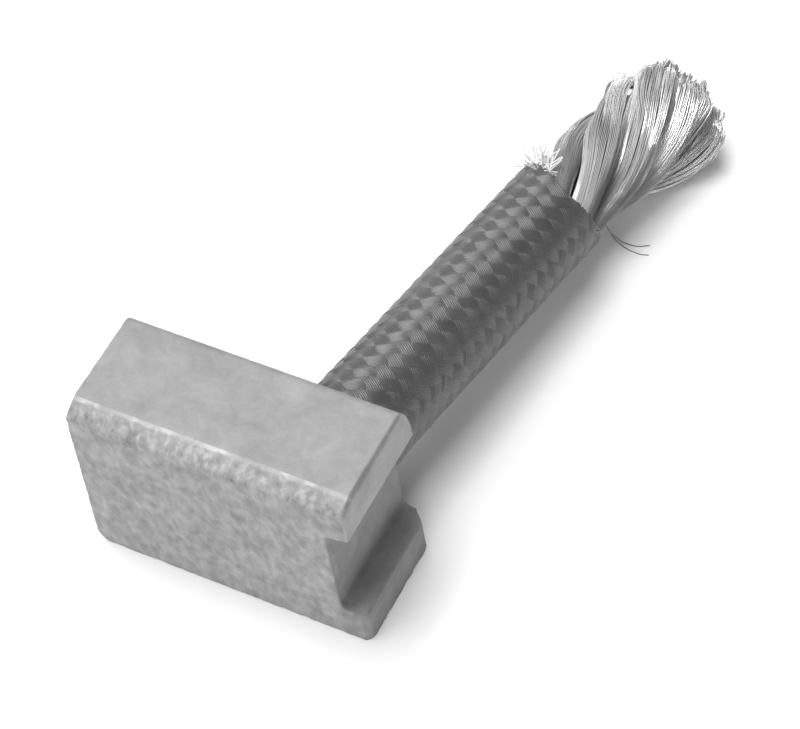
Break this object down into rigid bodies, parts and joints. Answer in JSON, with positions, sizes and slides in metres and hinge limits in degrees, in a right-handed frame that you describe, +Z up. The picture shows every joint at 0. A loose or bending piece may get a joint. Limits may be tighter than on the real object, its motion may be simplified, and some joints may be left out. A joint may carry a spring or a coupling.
{
  "type": "carbon brush",
  "caption": "Carbon brush: a rectangular carbon block with a notched side, and a stranded metal lead in a dark braided sleeve that leaves its back face.",
  "frame": {"origin": "on the block's base, midway between its two sides and midway between its front and lead faces", "axes": "+X towards the notched side, +Y from the front face towards the lead, +Z up from the base"},
  "size_m": [0.0248, 0.0469, 0.0144],
  "materials": {
    "carbon": "matte, slightly grainy sintered carbon with a dull metallic cast",
    "sleeve": "dark braided glass yarn with pale broken fibres",
    "strand_metal": "bright tinned copper wire"
  },
  "bodies": {
    "root": {"brush_block": "carbon", "insulating_sleeve": "sleeve", "core_strand": "strand_metal", "strand_1": "strand_metal", "strand_2": "strand_metal", "strand_3": "strand_metal", "strand_4": "strand_metal", "strand_5": "strand_metal", "strand_6": "strand_metal"}
  },
  "joints": []
}
